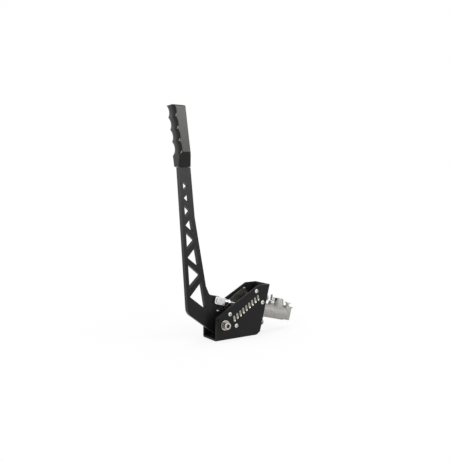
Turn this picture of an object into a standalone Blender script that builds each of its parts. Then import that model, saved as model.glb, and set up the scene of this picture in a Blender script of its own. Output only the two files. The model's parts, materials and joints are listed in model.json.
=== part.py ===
"""Vertical hydraulic parking brake lever, built as an assembly of separate pieces.

Units are metres, +Z is up, +X points to the rear (towards the master cylinder) and the
origin is the centre of the bracket floor's underside. Run with
blender --background --python part.py
"""
from math import acos, asin, atan2, cos, hypot, pi, radians, sin, sqrt, tan

import bpy
import bmesh
from mathutils import Matrix, Vector

# Gaps
SEAT_GAP = 0.0003          # between two pieces that rest on each other
SMALL_EDGE = 0.0006        # chamfer on bolt ends and heads
RUN_GAP = 0.0023           # round the push rod, which swings a little in the boot

# Bracket, folded from sheet
SHEET = 0.004
BRACKET_WIDTH = 0.054
FOLD_RADIUS = 0.003        # outside of the two long folds
FLOOR_LENGTH = 0.106
HEEL_RUN = 0.0105          # cut-off corner between floor and rear wall
HEEL_RISE = 0.007
WALL_TILT = radians(14.5)  # the rear wall leans back by this, and the cylinder points down by it
BRACKET_HEIGHT = 0.112
TOP_LENGTH = 0.0305
FRONT_HEIGHT = 0.051
EAR_HOLE_RADIUS = 0.0022
EAR_INSET = 0.0045         # from the front edge to the ear hole's centre
FLOOR_HOLE_RADIUS = 0.0043
FLOOR_HOLE_INSET = 0.013    # from the floor's front and rear ends
FLOOR_HOLE_SPACING_Y = 0.028

# Row of cut-outs and screws on each side plate
ROW_HEIGHT = 0.0640
ROW_INSET = 0.0522         # from the rear wall's outer face to the row's middle
ROW_ANGLE = radians(31.8)
SCREW_SPACING_LONG = 0.0835
SCREW_SPACING_SHORT = 0.0318
SLOT_COUNT = 9
SLOT_PITCH = 0.0094
SLOT_LENGTH = 0.0140
SLOT_WIDTH = 0.0046
SLOT_SLANT = radians(22)
BACKING_THICKNESS = 0.003
BACKING_MARGIN = 0.0033
PLATE_SCREW_RADIUS = 0.0025
PLATE_SCREW_HEAD_RADIUS = 0.00475
PLATE_SCREW_HEAD_HEIGHT = 0.00275
PLATE_SCREW_LENGTH = 0.008
PLATE_SCREW_KEY = 0.003
BUTTON_CROWN = 0.6         # flat top of a button head, as a share of its radius
BUTTON_RIM = 0.3           # upright rim of a button head, as a share of its height

# Pivot of the lever
PIVOT_X = -0.031
PIVOT_Z = 0.0332
PIVOT_RADIUS = 0.005
PIVOT_HEAD_RADIUS = 0.008
PIVOT_HEAD_HEIGHT = 0.010
PIVOT_KEY = 0.008
PIVOT_KEY_DEPTH = 0.0055
PIVOT_WASHER_RADIUS = 0.011
PIVOT_WASHER_THICKNESS = 0.002
PIVOT_NUT_WIDTH = 0.017
PIVOT_NUT_HEIGHT = 0.009
PIVOT_END_PROUD = 0.002
SPACER_RADIUS = 0.0085
BUSH_WALL = 0.0022
NUT_CHAMFER = radians(30)

# Lever plate
LEVER_THICKNESS = 0.010
BOSS_RADIUS = 0.024
CLEVIS_ARM = 0.05125       # pivot to clevis pin
CLEVIS_ARM_LEAN = radians(5.6)
EAR_RADIUS = 0.0092
NECK_RADIUS = 0.020        # hollow between the clevis ear and the boss
SPARE_HOLE_DROP = 0.0200
SPARE_HOLE_RADIUS = 0.0041
SHOULDER_Z = 0.3712        # where the grip sits on the plate
FRONT_TOP_X = -0.1307
FRONT_LEAN = radians(3.8)
HEEL_CORNER_Z = 0.063
HEEL_CORNER_RADIUS = 0.022
REAR_TOP_X = -0.1022
REAR_KNEE = (-0.0925, 0.2675)
REAR_LOW = (-0.0650, 0.1180)
REAR_FOOT = (-0.0562, 0.0985)
REAR_FOOT_RADIUS = 0.010
TONGUE_WIDTH = 0.015
TONGUE_COVER = 0.0393      # grip left above the tongue
TONGUE_INSET = 0.004       # from the grip's rear face to the tongue

# Triangular cut-outs of the lever plate
TRUSS_COUNT = 8
TRUSS_TOP_Z = 0.3420
TRUSS_FIRST = 0.0190       # upright edge of the topmost triangle
TRUSS_GROWTH = 1.18        # each triangle is this much taller than the one above
TRUSS_WEB = 0.0140         # drop to the next triangle, beyond half of this one's height
TRUSS_FLANGE_FRONT = 0.0083
TRUSS_FLANGE_REAR = 0.0098
TRUSS_CORNER_RADIUS = 0.0008

# Grip
GRIP_WIDTH = 0.032
GRIP_TOP_Z = 0.4965
GRIP_REAR_TOP_X = -0.1195
GRIP_REAR_LEAN = radians(7.2)
GRIP_FRONT_TOP_X = -0.1505
GRIP_FRONT_LEAN = radians(9.85)
GRIP_FOOT_FRONT_X = -0.1335
GRIP_FOOT_WIDTH = 0.0165
GRIP_TAPER_HEIGHT = 0.031
GRIP_CHAMFER = 0.0015
SCALLOP_COUNT = 4
SCALLOP_STEPS = 5          # straight pieces of the flare on each side
SCALLOP_FLOOR = 0.0272     # from the shoulder to the lowest finger groove
SCALLOP_LIP = 0.0015       # flat left between two grooves
SCALLOP_DEPTH = 0.0038
SCALLOP_FLARE = 0.0042     # how much deeper each scallop is at the grip's sides
SCALLOP_STRAIGHT = 0.35    # share of the half width before the flare starts
GRIP_SCREW_RADIUS = 0.003
GRIP_SCREW_LENGTH = 0.0036
GRIP_SCREW_KEY_DEPTH = 0.0018
GRIP_SCREW_PLACES = (0.35, 0.70)   # along the tongue

# Clevis and push rod
PIN_RADIUS = 0.004
PIN_HEAD_RADIUS = 0.0055
PIN_HEAD_HEIGHT = 0.0018
PIN_TAIL = 0.0036
FORK_WIDTH = 0.021
FORK_HEIGHT = 0.0160
FORK_NOSE = 0.0095         # from the pin to the fork's front end
FORK_LENGTH = 0.0180       # from the pin to the end of the cheeks' block
FORK_NOSE_ROUND = 0.0050
FORK_NECK_LENGTH = 0.0100
FORK_NECK_RADIUS = 0.0062
ROD_RADIUS = 0.004
ROD_WAIST_RADIUS = 0.003
ROD_WAIST_LENGTH = 0.014
BALL_RADIUS = 0.004
JAM_NUT_WIDTH = 0.013
JAM_NUT_HEIGHT = 0.0065

# Master cylinder
BORE_RADIUS = 0.009525     # three-quarter inch bore
AXIS_DROP = 0.0022         # bore below the clevis pin at rest, measured along the wall
BORE_DEPTH = 0.081         # behind the wall's outer face
CYLINDER_RADIUS = 0.0158
TUBE_LENGTH = 0.0786       # round part of the casting
END_LENGTH = 0.0145        # squared end block behind it
END_HALF_WIDTH = 0.0105
END_BELOW = 0.0135
END_ABOVE = 0.0190
END_ROUND = 0.0018
NOSE_RADIUS = 0.0135
NOSE_LENGTH = 0.010
FLANGE_THICKNESS = 0.012
FLANGE_HUB_RADIUS = 0.0172
FLANGE_EAR_RADIUS = 0.0090
FLANGE_BOLT_SPACING = 0.05715
FLANGE_BOLT_RADIUS = 0.004
FLANGE_BOLT_WIDTH = 0.013
FLANGE_BOLT_HEAD = 0.0053
FLANGE_WASHER_RADIUS = 0.008
FLANGE_WASHER_THICKNESS = 0.0016
FLANGE_NUT_HEIGHT = 0.0068
FLANGE_BOLT_PROUD = 0.003
PORT_RADIUS = 0.0048
TOWER_PLACE = 0.0588       # cast tower on top of the cylinder, behind the wall's face
TOWER_HEIGHT = 0.033
TOWER_TOP_RADIUS = 0.0110
TOWER_FOOT_RADIUS = 0.0145
TOWER_SLIMNESS = 0.72      # its width across the car, as a share of its length
INLET_PLACE = 0.0372
INLET_PAD_RADIUS = 0.0074
INLET_PAD_HEIGHT = 0.0185
BLEED_PLACE = 0.0866
BLEED_PAD_RADIUS = 0.0055
BLEED_PAD_HEIGHT = 0.0196
TAB_LENGTH = 0.012
TAB_OVERHANG = 0.005
TAB_DROP = 0.0006          # its top below the end block's top
TAB_THICKNESS = 0.0028
TAB_WIDTH = 0.016

# Inside the cylinder
PISTON_REST = -0.005       # rear end of the piston at rest
PISTON_LENGTH = 0.045
PISTON_LAND = 0.004
PISTON_WAIST_RADIUS = 0.0062
PISTON_NOSE_RADIUS = 0.005
CUP_LENGTH = 0.005
ROD_CUP_RADIUS = 0.0055
ROD_CUP_DEPTH = 0.009
STOP_RING_THICKNESS = 0.0012
STOP_RING_BORE = 0.0065
SPRING_RADIUS = 0.0074
SPRING_WIRE = 0.0009
SPRING_TURNS = 7
SPRING_POINTS = 10         # drawn points per turn

# Small fittings
BARB_HEIGHT = 0.0200
BARB_RADIUS = 0.0040
BARB_RIDGE_RADIUS = 0.0055
BARB_BORE_RADIUS = 0.0022
BARB_FLANGE_RADIUS = 0.0068
BARB_FLANGE_HEIGHT = 0.0055
BARB_RIDGE_STEP = 0.0050
PLUG_HEAD_RADIUS = 0.0074
PLUG_HEAD_THICKNESS = 0.0030
PLUG_NECK_LENGTH = 0.0048
PLUG_NECK_RADIUS = 0.0036
PLUG_RADIUS = 0.003
BOOT_LENGTH = 0.014
BOOT_WALL = 0.0018
BOOT_FOLDS = 2
BOOT_CREST = 0.0012        # how far each fold bulges out

COLOURS = {
    "black_steel": ((0.028, 0.028, 0.030), 0.45, 0.3),
    "black_lever": ((0.045, 0.045, 0.047), 0.42, 0.6),
    "grey_grip": ((0.115, 0.113, 0.108), 0.42, 0.6),
    "polished": ((0.72, 0.70, 0.66), 0.18, 1.0),
    "zinc": ((0.82, 0.83, 0.83), 0.3, 1.0),
    "nickel": ((0.70, 0.67, 0.62), 0.28, 1.0),
    "bronze": ((0.55, 0.36, 0.16), 0.4, 1.0),
    "cast": ((0.42, 0.41, 0.39), 0.6, 0.8),
    "spring": ((0.35, 0.35, 0.37), 0.35, 1.0),
    "rubber": ((0.02, 0.02, 0.02), 0.8, 0.0),
    "plastic": ((0.62, 0.63, 0.64), 0.45, 0.0),
}


# Scene and collections

def clear_scene():
    for old in list(bpy.data.objects):
        bpy.data.objects.remove(old, do_unlink=True)


def new_collection(name):
    collection = bpy.data.collections.new(name)
    bpy.context.scene.collection.children.link(collection)
    return collection


def make_materials():
    made = {}
    for name, (colour, roughness, metallic) in COLOURS.items():
        material = bpy.data.materials.new(name)
        material.use_nodes = True
        shader = material.node_tree.nodes["Principled BSDF"]
        shader.inputs["Base Color"].default_value = (*colour, 1.0)
        shader.inputs["Roughness"].default_value = roughness
        shader.inputs["Metallic"].default_value = metallic
        material.diffuse_color = (*colour, 1.0)
        made[name] = material
    return made


clear_scene()
PARTS = new_collection("parking_brake_lever")
CUTTERS = new_collection("cutters")
MATERIALS = make_materials()


# Places worked out from the sizes

def wall_x(z):
    """Outer face of the rear wall at height z."""
    return FLOOR_LENGTH / 2 + HEEL_RUN + (z - HEEL_RISE) * tan(WALL_TILT)


HALF_WIDTH = BRACKET_WIDTH / 2
INNER_Y = HALF_WIDTH - SHEET
HALF_LEVER = LEVER_THICKNESS / 2
PIVOT = Vector((PIVOT_X, 0, PIVOT_Z))
ALONG = Vector((cos(WALL_TILT), 0, -sin(WALL_TILT)))
UP_WALL = Vector((sin(WALL_TILT), 0, cos(WALL_TILT)))
PIN = PIVOT + CLEVIS_ARM * Vector((-sin(CLEVIS_ARM_LEAN), 0, cos(CLEVIS_ARM_LEAN)))
WALL_POINT = Vector((wall_x(HEEL_RISE), 0, HEEL_RISE))
PIN_TO_WALL = (WALL_POINT - PIN).dot(ALONG)
CYLINDER_ORIGIN = PIN + ALONG * PIN_TO_WALL - UP_WALL * AXIS_DROP
CYLINDER_END = TUBE_LENGTH + END_LENGTH
ROD_CUP_CENTRE = PISTON_REST + ROD_CUP_DEPTH - ROD_CUP_RADIUS
BALL_PLACE = ROD_CUP_CENTRE + ROD_CUP_RADIUS - SEAT_GAP - BALL_RADIUS
ROD_LENGTH = hypot(PIN_TO_WALL + BALL_PLACE, AXIS_DROP)
ROD_TILT = WALL_TILT + asin(AXIS_DROP / ROD_LENGTH)
ROW_CENTRE = (wall_x(ROW_HEIGHT) - ROW_INSET, ROW_HEIGHT)
TONGUE_HEIGHT = GRIP_TOP_Z - SHOULDER_Z - TONGUE_COVER
SCALLOP_PITCH = (GRIP_TOP_Z - SHOULDER_Z - SCALLOP_FLOOR) / SCALLOP_COUNT / cos(GRIP_FRONT_LEAN)
SCALLOP_CHORD = (SCALLOP_PITCH - SCALLOP_LIP) / 2
SCALLOP_RADIUS = (SCALLOP_CHORD ** 2 + SCALLOP_DEPTH ** 2) / (2 * SCALLOP_DEPTH)
TOP_FRONT_X = wall_x(BRACKET_HEIGHT) - TOP_LENGTH


# Objects

def link(obj, collection, material=None):
    collection.objects.link(obj)
    if material:
        obj.data.materials.append(MATERIALS[material])
    return obj


def frame_at(name, point, tilt=0.0):
    """An empty that carries what moves or lines up together."""
    empty = bpy.data.objects.new(name, None)
    empty.empty_display_size = 0.01
    empty.location = point
    empty.rotation_euler = (0, tilt, 0)
    PARTS.objects.link(empty)
    return empty


def mount_on(obj, parent, location=(0, 0, 0), rotation=(0, 0, 0)):
    obj.parent = parent
    obj.location = location
    obj.rotation_euler = rotation
    return obj


def smooth(mesh, angle=radians(35)):
    mesh.shade_smooth()
    mesh.set_sharp_from_angle(angle=angle)


def as_cutter(obj):
    obj.hide_render = True
    obj.display_type = "WIRE"
    for owner in list(obj.users_collection):
        owner.objects.unlink(obj)
    CUTTERS.objects.link(obj)
    return obj


def boolean(obj, other, operation="DIFFERENCE"):
    modifier = obj.modifiers.new(operation.title(), "BOOLEAN")
    modifier.operation = operation
    modifier.solver = "EXACT"
    modifier.object = as_cutter(other)
    return obj


def chamfer(obj, width, segments=1, angle=radians(40)):
    modifier = obj.modifiers.new("Bevel", "BEVEL")
    modifier.width = width
    modifier.segments = segments
    modifier.limit_method = "ANGLE"
    modifier.angle_limit = angle
    return obj


def cylinder(name, radius, low, high, material=None, sides=16):
    """A plain round bar along local Z, from low to high."""
    mesh = bpy.data.meshes.new(name)
    bm = bmesh.new()
    bmesh.ops.create_cone(bm, cap_ends=True, segments=sides, radius1=radius, radius2=radius,
                          depth=high - low, matrix=Matrix.Translation((0, 0, (low + high) / 2)))
    bm.to_mesh(mesh)
    bm.free()
    smooth(mesh)
    return link(bpy.data.objects.new(name, mesh), PARTS, material)


def hexagon_bar(name, across_flats, low, high, material=None):
    """A hexagon bar along local Z with a corner pointing along local X."""
    mesh = bpy.data.meshes.new(name)
    bm = bmesh.new()
    corner = across_flats / sqrt(3)
    bmesh.ops.create_cone(bm, cap_ends=True, segments=6, radius1=corner, radius2=corner,
                          depth=high - low, matrix=Matrix.Translation((0, 0, (low + high) / 2)))
    bm.to_mesh(mesh)
    bm.free()
    return link(bpy.data.objects.new(name, mesh), PARTS, material)


def box(name, low, high, material=None):
    mesh = bpy.data.meshes.new(name)
    bm = bmesh.new()
    size = Vector(high) - Vector(low)
    middle = (Vector(high) + Vector(low)) / 2
    place = Matrix.Translation(middle) @ Matrix.Diagonal((*size, 1))
    bmesh.ops.create_cube(bm, size=1, matrix=place)
    bm.to_mesh(mesh)
    bm.free()
    return link(bpy.data.objects.new(name, mesh), PARTS, material)


def turned(name, profile, material=None, steps=20):
    """Turn a profile of (radius, height) round local Z; its outer side runs from top to bottom.

    A profile that doesn't start on the axis is closed into a ring."""
    ring = profile[0][0] > 0
    mesh = bpy.data.meshes.new(name)
    bm = bmesh.new()
    verts = [bm.verts.new((radius, 0, height)) for radius, height in profile]
    for first, second in zip(verts, verts[1:]):
        bm.edges.new((first, second))
    if ring:
        bm.edges.new((verts[-1], verts[0]))
    bm.to_mesh(mesh)
    bm.free()
    obj = link(bpy.data.objects.new(name, mesh), PARTS, material)
    screw = obj.modifiers.new("Screw", "SCREW")
    screw.steps = steps
    screw.render_steps = steps
    screw.use_merge_vertices = True
    screw.merge_threshold = 0.00002
    screw.use_smooth_shade = False
    return obj


def tube_ring(name, inner, outer, low, high, material=None, steps=20):
    return turned(name, [(outer, high), (outer, low), (inner, low), (inner, high)], material, steps)


def arc(centre, radius, start, end, pieces):
    """Points of an arc, both ends included; angles in radians."""
    points = []
    for step in range(pieces + 1):
        angle = start + (end - start) * step / pieces
        points.append((centre[0] + radius * cos(angle), centre[1] + radius * sin(angle)))
    return points


def rounded(corners, pieces=4):
    """Replace each (x, z, radius) corner by its fillet arc."""
    points = []
    count = len(corners)
    for index, (x, z, radius) in enumerate(corners):
        if radius <= 0:
            points.append((x, z))
            continue
        here = Vector((x, z))
        before = Vector(corners[index - 1][:2]) - here
        after = Vector(corners[(index + 1) % count][:2]) - here
        half = before.angle(after) / 2
        reach = min(radius / tan(half), 0.49 * before.length, 0.49 * after.length)
        real = reach * tan(half)
        middle = here + (before.normalized() + after.normalized()).normalized() * real / sin(half)
        first = here + before.normalized() * reach - middle
        last = here + after.normalized() * reach - middle
        start = atan2(first.y, first.x)
        turn = (atan2(last.y, last.x) - start + pi) % (2 * pi) - pi
        points.extend(arc(middle, real, start, start + turn, pieces))
    return points


def plate(name, outlines, low, high, material=None):
    """A flat piece in the XZ plane between the levels low and high of Y, cut by inner outlines."""
    curve = bpy.data.curves.new(name, "CURVE")
    curve.dimensions = "2D"
    curve.fill_mode = "BOTH"
    curve.extrude = (high - low) / 2
    for outline in outlines:
        spline = curve.splines.new("POLY")
        spline.points.add(len(outline) - 1)
        for point, (x, z) in zip(spline.points, outline):
            point.co = (x, z, 0, 1)
        spline.use_cyclic_u = True
    drawn = bpy.data.objects.new(name + "_outline", curve)
    PARTS.objects.link(drawn)
    drawn.rotation_euler = (pi / 2, 0, 0)
    drawn.location = (0, (low + high) / 2, 0)
    bpy.context.view_layer.update()
    evaluated = drawn.evaluated_get(bpy.context.evaluated_depsgraph_get())
    mesh = bpy.data.meshes.new_from_object(evaluated)
    mesh.name = name
    bm = bmesh.new()
    bm.from_mesh(mesh)
    bmesh.ops.remove_doubles(bm, verts=bm.verts, dist=0.00001)
    bmesh.ops.dissolve_degenerate(bm, edges=bm.edges, dist=0.000001)
    bmesh.ops.recalc_face_normals(bm, faces=bm.faces)
    bm.to_mesh(mesh)
    bm.free()
    obj = bpy.data.objects.new(name, mesh)
    obj.matrix_world = drawn.matrix_world
    bpy.data.objects.remove(drawn, do_unlink=True)
    mesh.materials.clear()
    return link(obj, PARTS, material)


# Side view of the bracket

def bracket_outline():
    return rounded([
        (-FLOOR_LENGTH / 2, 0, 0),
        (FLOOR_LENGTH / 2, 0, 0),
        (wall_x(HEEL_RISE), HEEL_RISE, 0),
        (wall_x(BRACKET_HEIGHT), BRACKET_HEIGHT, 0),
        (TOP_FRONT_X, BRACKET_HEIGHT, 0.002),
        (-FLOOR_LENGTH / 2, FRONT_HEIGHT, EAR_INSET),
    ])


def cavity_outline():
    """The room inside the sheet, open to the front and the top."""
    wall_step = SHEET / cos(WALL_TILT)
    heel_angle = atan2(HEEL_RISE, wall_x(HEEL_RISE) - FLOOR_LENGTH / 2)
    heel_step = SHEET * (1 - cos(heel_angle)) / sin(heel_angle)
    floor_rear = FLOOR_LENGTH / 2 - heel_step
    turn = (pi / 2 - WALL_TILT - heel_angle) / 2
    rise = HEEL_RISE + SHEET * sin(pi / 2 - WALL_TILT - turn) / cos(turn) * tan(turn)
    beyond = BRACKET_HEIGHT + SHEET
    return [
        (-FLOOR_LENGTH / 2 - SHEET, SHEET),
        (floor_rear, SHEET),
        (wall_x(rise) - wall_step, rise),
        (wall_x(beyond) - wall_step, beyond),
        (-FLOOR_LENGTH / 2 - SHEET, beyond),
    ]


def row_point(along, across):
    """A point of the side plate, measured from the middle of the row of cut-outs."""
    x = ROW_CENTRE[0] + along * cos(ROW_ANGLE) - across * sin(ROW_ANGLE)
    z = ROW_CENTRE[1] + along * sin(ROW_ANGLE) + across * cos(ROW_ANGLE)
    return x, z


def row_corners(extra=0.0):
    half_long = SCREW_SPACING_LONG / 2 + extra
    half_short = SCREW_SPACING_SHORT / 2 + extra
    signs = ((-1, -1), (1, -1), (1, 1), (-1, 1))
    return [row_point(a * half_long, b * half_short) for a, b in signs]


def slot_outlines():
    outlines = []
    straight = (SLOT_LENGTH - SLOT_WIDTH) / 2
    for index in range(SLOT_COUNT):
        middle = row_point((index - (SLOT_COUNT - 1) / 2) * SLOT_PITCH, 0)
        lean = ROW_ANGLE + pi / 2 - SLOT_SLANT
        outline = []
        for side in (1, -1):
            end = (middle[0] + side * straight * cos(lean), middle[1] + side * straight * sin(lean))
            start = lean - pi / 2 + (0 if side > 0 else pi)
            outline.extend(arc(end, SLOT_WIDTH / 2, start, start + pi, 4))
        outlines.append(outline)
    return outlines


def make_bracket():
    bracket = plate("bracket", [bracket_outline()], -HALF_WIDTH, HALF_WIDTH, "black_steel")
    fold = box("fold_shape", (-FLOOR_LENGTH, -HALF_WIDTH, 0), (FLOOR_LENGTH, HALF_WIDTH, 2 * BRACKET_HEIGHT))
    bm = bmesh.new()
    bm.from_mesh(fold.data)
    long_edges = [e for e in bm.edges if all(v.co.z < SHEET for v in e.verts)
                  and abs(e.verts[0].co.y - e.verts[1].co.y) < SHEET]
    bmesh.ops.bevel(bm, geom=long_edges, offset=FOLD_RADIUS, offset_type="OFFSET", segments=3,
                    profile=0.5, affect="EDGES")
    bm.to_mesh(fold.data)
    bm.free()
    boolean(bracket, fold, "INTERSECT")
    boolean(bracket, plate("cavity", [cavity_outline()], -INNER_Y, INNER_Y))
    boolean(bracket, plate("slots", slot_outlines(), -BRACKET_WIDTH, BRACKET_WIDTH))
    ear = (-FLOOR_LENGTH / 2 + EAR_INSET, FRONT_HEIGHT - EAR_INSET)
    holes = [circle(point, PLATE_SCREW_RADIUS + SEAT_GAP, 12) for point in row_corners()]
    holes.append(circle((PIVOT_X, PIVOT_Z), PIVOT_RADIUS + SEAT_GAP, 20))
    holes.append(circle(ear, EAR_HOLE_RADIUS, 12))
    boolean(bracket, plate("side_holes", holes, -BRACKET_WIDTH, BRACKET_WIDTH))
    for side_x in (-1, 1):
        for side_y in (-1, 1):
            hole = cylinder("floor_hole", FLOOR_HOLE_RADIUS, -SHEET, 2 * SHEET, sides=12)
            hole.location = (side_x * (FLOOR_LENGTH / 2 - FLOOR_HOLE_INSET), side_y * FLOOR_HOLE_SPACING_Y / 2, 0)
            boolean(bracket, hole)
    nose_hole = cylinder("nose_hole", NOSE_RADIUS + SEAT_GAP, -3 * SHEET, SHEET, sides=24)
    boolean(bracket, mount_on(nose_hole, CYLINDER))
    for side in (-1, 1):
        hole = cylinder("wall_hole", FLANGE_BOLT_RADIUS + SEAT_GAP, -3 * SHEET, SHEET, sides=12)
        boolean(bracket, mount_on(hole, CYLINDER, (side * FLANGE_BOLT_SPACING / 2, 0, 0)))
    return bracket


def circle(centre, radius, pieces):
    return arc(centre, radius, 0, 2 * pi, pieces)[:-1]


def make_backing_plates():
    corners = [(x, z, BACKING_MARGIN) for x, z in row_corners(BACKING_MARGIN)]
    holes = [circle(point, PLATE_SCREW_RADIUS + SEAT_GAP, 12) for point in row_corners()]
    near = INNER_Y - SEAT_GAP
    far = near - BACKING_THICKNESS
    plate("left_backing_plate", [rounded(corners)] + holes, -near, -far, "polished")
    plate("right_backing_plate", [rounded(corners)] + holes, far, near, "polished")


def button_screw(name, shank_radius, head_radius, head_height, length, key, material):
    """A button-head screw along local Z: head above 0, shank below; also gives its key socket."""
    profile = [
        (0, head_height), (head_radius * BUTTON_CROWN, head_height), (head_radius, head_height * BUTTON_RIM),
        (head_radius, 0), (shank_radius, 0), (shank_radius, SMALL_EDGE - length),
        (shank_radius - SMALL_EDGE, -length), (0, -length)]
    screw = turned(name, profile, material, steps=12)
    socket = hexagon_bar(name + "_key", key, head_height - PLATE_SCREW_KEY / 2, head_height * 2)
    boolean(screw, socket)
    return screw, socket


def make_plate_screws():
    for word, side in (("left", -1), ("right", 1)):
        for number, (x, z) in enumerate(row_corners(), start=1):
            pair = button_screw(f"{word}_plate_screw_{number}", PLATE_SCREW_RADIUS, PLATE_SCREW_HEAD_RADIUS,
                                PLATE_SCREW_HEAD_HEIGHT, PLATE_SCREW_LENGTH, PLATE_SCREW_KEY, "zinc")
            for piece in pair:
                piece.location = (x, side * (HALF_WIDTH + SEAT_GAP), z)
                piece.rotation_euler = (-side * pi / 2, 0, 0)


def make_pivot():
    """Bolt, washers, nut and spacers stay with the bracket; the bush turns with the lever."""
    washer_low = HALF_WIDTH + SEAT_GAP
    washer_high = washer_low + PIVOT_WASHER_THICKNESS
    seat = washer_high + SEAT_GAP
    nut_end = seat + PIVOT_NUT_HEIGHT
    hole = PIVOT_RADIUS + SEAT_GAP
    shank_end = nut_end + PIVOT_END_PROUD
    head_end = seat + PIVOT_HEAD_HEIGHT
    bolt = turned("pivot_bolt", [
        (0, head_end), (PIVOT_HEAD_RADIUS - SMALL_EDGE, head_end), (PIVOT_HEAD_RADIUS, head_end - SMALL_EDGE),
        (PIVOT_HEAD_RADIUS, seat), (PIVOT_RADIUS, seat), (PIVOT_RADIUS, SMALL_EDGE - shank_end),
        (PIVOT_RADIUS - SMALL_EDGE, -shank_end), (0, -shank_end)], "nickel")
    socket = hexagon_bar("pivot_socket", PIVOT_KEY, head_end - PIVOT_KEY_DEPTH, head_end * 2)
    on_pivot(bolt)
    boolean(bolt, on_pivot(socket))
    for word, low, high in (("near", washer_low, washer_high), ("far", -washer_high, -washer_low)):
        on_pivot(tube_ring(f"pivot_washer_{word}", hole, PIVOT_WASHER_RADIUS, low, high, "nickel"))
    on_pivot(nut("pivot_nut", PIVOT_NUT_WIDTH, -nut_end, -seat, hole, "nickel"), nut_tools("pivot_nut"))
    for word, side in (("near", 1), ("far", -1)):
        low, high = sorted((side * (HALF_LEVER + SEAT_GAP), side * (INNER_Y - SEAT_GAP)))
        on_pivot(tube_ring(f"pivot_spacer_{word}", hole, SPACER_RADIUS, low, high, "nickel"))
    on_pivot(tube_ring("pivot_bush", hole, hole + BUSH_WALL, -HALF_LEVER, HALF_LEVER, "bronze"))


def on_pivot(obj, others=()):
    """Stand a piece on the pivot's axis, its local Z towards the near side plate."""
    for piece in (obj, *others):
        mount_on(piece, PIVOT_FRAME, rotation=(pi / 2, 0, 0))
    return obj


def nut(name, across_flats, low, high, hole_radius, material):
    """A hexagon nut with its corners turned off at both ends."""
    body = hexagon_bar(name, across_flats, low, high, material)
    corner = across_flats / sqrt(3) + SEAT_GAP
    face = across_flats / 2 - SEAT_GAP
    slope = (corner - face) * tan(NUT_CHAMFER)
    shape = turned(name + "_corners", [
        (0, high), (face, high), (corner, high - slope), (corner, low + slope), (face, low), (0, low)], steps=18)
    hole = cylinder(name + "_hole", hole_radius, low - (high - low), high + (high - low), sides=12)
    boolean(body, shape, "INTERSECT")
    boolean(body, hole)
    return body


def nut_tools(name):
    return [bpy.data.objects[name + "_corners"], bpy.data.objects[name + "_hole"]]


# Lever plate, its bush hole and its triangular cut-outs

def tangent_point(point, centre, radius, side):
    """Where a line from a point touches a circle, on one side of it."""
    across = Vector(centre) - Vector(point)
    spread = asin(radius / across.length)
    heading = atan2(across.y, across.x) + side * spread
    reach = sqrt(across.length ** 2 - radius ** 2)
    return Vector(point) + reach * Vector((cos(heading), sin(heading)))


def angle_of(point, centre):
    return atan2(point[1] - centre[1], point[0] - centre[0])


def front_x(z):
    """Front edge of the lever plate."""
    return FRONT_TOP_X + (SHOULDER_Z - z) * tan(FRONT_LEAN)


def rear_x(z):
    """Rear edge of the lever plate above its foot."""
    stations = [(REAR_TOP_X, SHOULDER_Z), REAR_KNEE, REAR_LOW]
    for (x1, z1), (x2, z2) in zip(stations, stations[1:]):
        if z >= z2 or (x2, z2) == REAR_LOW:
            return x1 + (x2 - x1) * (z1 - z) / (z1 - z2)


def grip_rear_x(z):
    return GRIP_REAR_TOP_X + (GRIP_TOP_Z - z) * tan(GRIP_REAR_LEAN)


def tongue_rear_x(z):
    return grip_rear_x(z) - TONGUE_INSET


def tongue_outline(extra):
    """The part of the lever plate inside the grip; extra is the clearance all round it."""
    low = SHOULDER_Z
    high = SHOULDER_Z + TONGUE_HEIGHT + extra
    return [
        (tongue_rear_x(low) + extra, low),
        (tongue_rear_x(high) + extra, high),
        (tongue_rear_x(high) - TONGUE_WIDTH - extra, high),
        (tongue_rear_x(low) - TONGUE_WIDTH - extra, low),
    ]


def lever_outline():
    pivot = (PIVOT.x, PIVOT.z)
    pin = (PIN.x, PIN.z)
    corner = (front_x(HEEL_CORNER_Z), HEEL_CORNER_Z)
    lower_touch = tangent_point(corner, pivot, BOSS_RADIUS, -1)
    top_touch = tangent_point(REAR_FOOT, pin, EAR_RADIUS, 1)
    to_pin = EAR_RADIUS + NECK_RADIUS
    to_pivot = BOSS_RADIUS + NECK_RADIUS
    down = (to_pin ** 2 - to_pivot ** 2 + CLEVIS_ARM ** 2) / (2 * CLEVIS_ARM)
    out = sqrt(to_pin ** 2 - down ** 2)
    arm = Vector((pivot[0] - pin[0], pivot[1] - pin[1])).normalized()
    neck = Vector(pin) + arm * down + Vector((-arm.y, arm.x)) * out
    ear_end = angle_of(neck, pin)
    boss_start = angle_of(neck, pivot)
    tongue = tongue_outline(0)
    points = rounded([(tongue[3][0], SHOULDER_Z, 0), (front_x(SHOULDER_Z), SHOULDER_Z, 0.001),
                      (*corner, HEEL_CORNER_RADIUS), (*lower_touch, 0)], 8)[:-1]
    points += arc(pivot, BOSS_RADIUS, angle_of(lower_touch, pivot), boss_start, 14)
    points += arc(neck, NECK_RADIUS, boss_start + pi, ear_end + pi - 2 * pi * (ear_end > 0), 7)[1:]
    points += arc(pin, EAR_RADIUS, ear_end, angle_of(top_touch, pin), 9)[1:]
    points += rounded([(*top_touch, 0), (*REAR_FOOT, REAR_FOOT_RADIUS), (*REAR_LOW, 0), (*REAR_KNEE, 0),
                       (REAR_TOP_X, SHOULDER_Z, 0.001), (tongue[0][0], SHOULDER_Z, 0)], 5)[1:-1]
    points += tongue[:3]
    return points


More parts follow.
